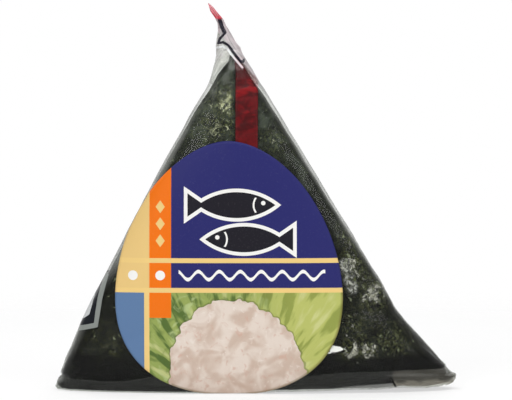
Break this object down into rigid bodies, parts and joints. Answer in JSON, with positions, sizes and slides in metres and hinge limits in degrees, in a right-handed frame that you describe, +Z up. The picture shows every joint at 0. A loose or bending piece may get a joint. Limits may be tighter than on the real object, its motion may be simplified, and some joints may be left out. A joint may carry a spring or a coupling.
{
  "type": "wrapped rice ball",
  "caption": "Triangular rice ball in dried seaweed, shut in a clear film pack with a pleated tail, pointed ears, an egg-shaped front label and a red tear strip.",
  "frame": {"origin": "on the ground under the middle of the pack", "axes": "+X to the right across the front, +Y from the front face to the back, +Z up towards the tail"},
  "size_m": [0.1, 0.0342, 0.0976],
  "materials": {
    "seaweed": "dark green-black dried seaweed sheet",
    "clear_film": "glossy clear film with fine wrinkles",
    "label_paper": "printed, semi-gloss",
    "red_tape": "dark red, slightly see-through"
  },
  "bodies": {
    "root": {"wrapped_rice_ball": "seaweed", "label": "label_paper", "tear_strip": "red_tape"}
  },
  "joints": []
}
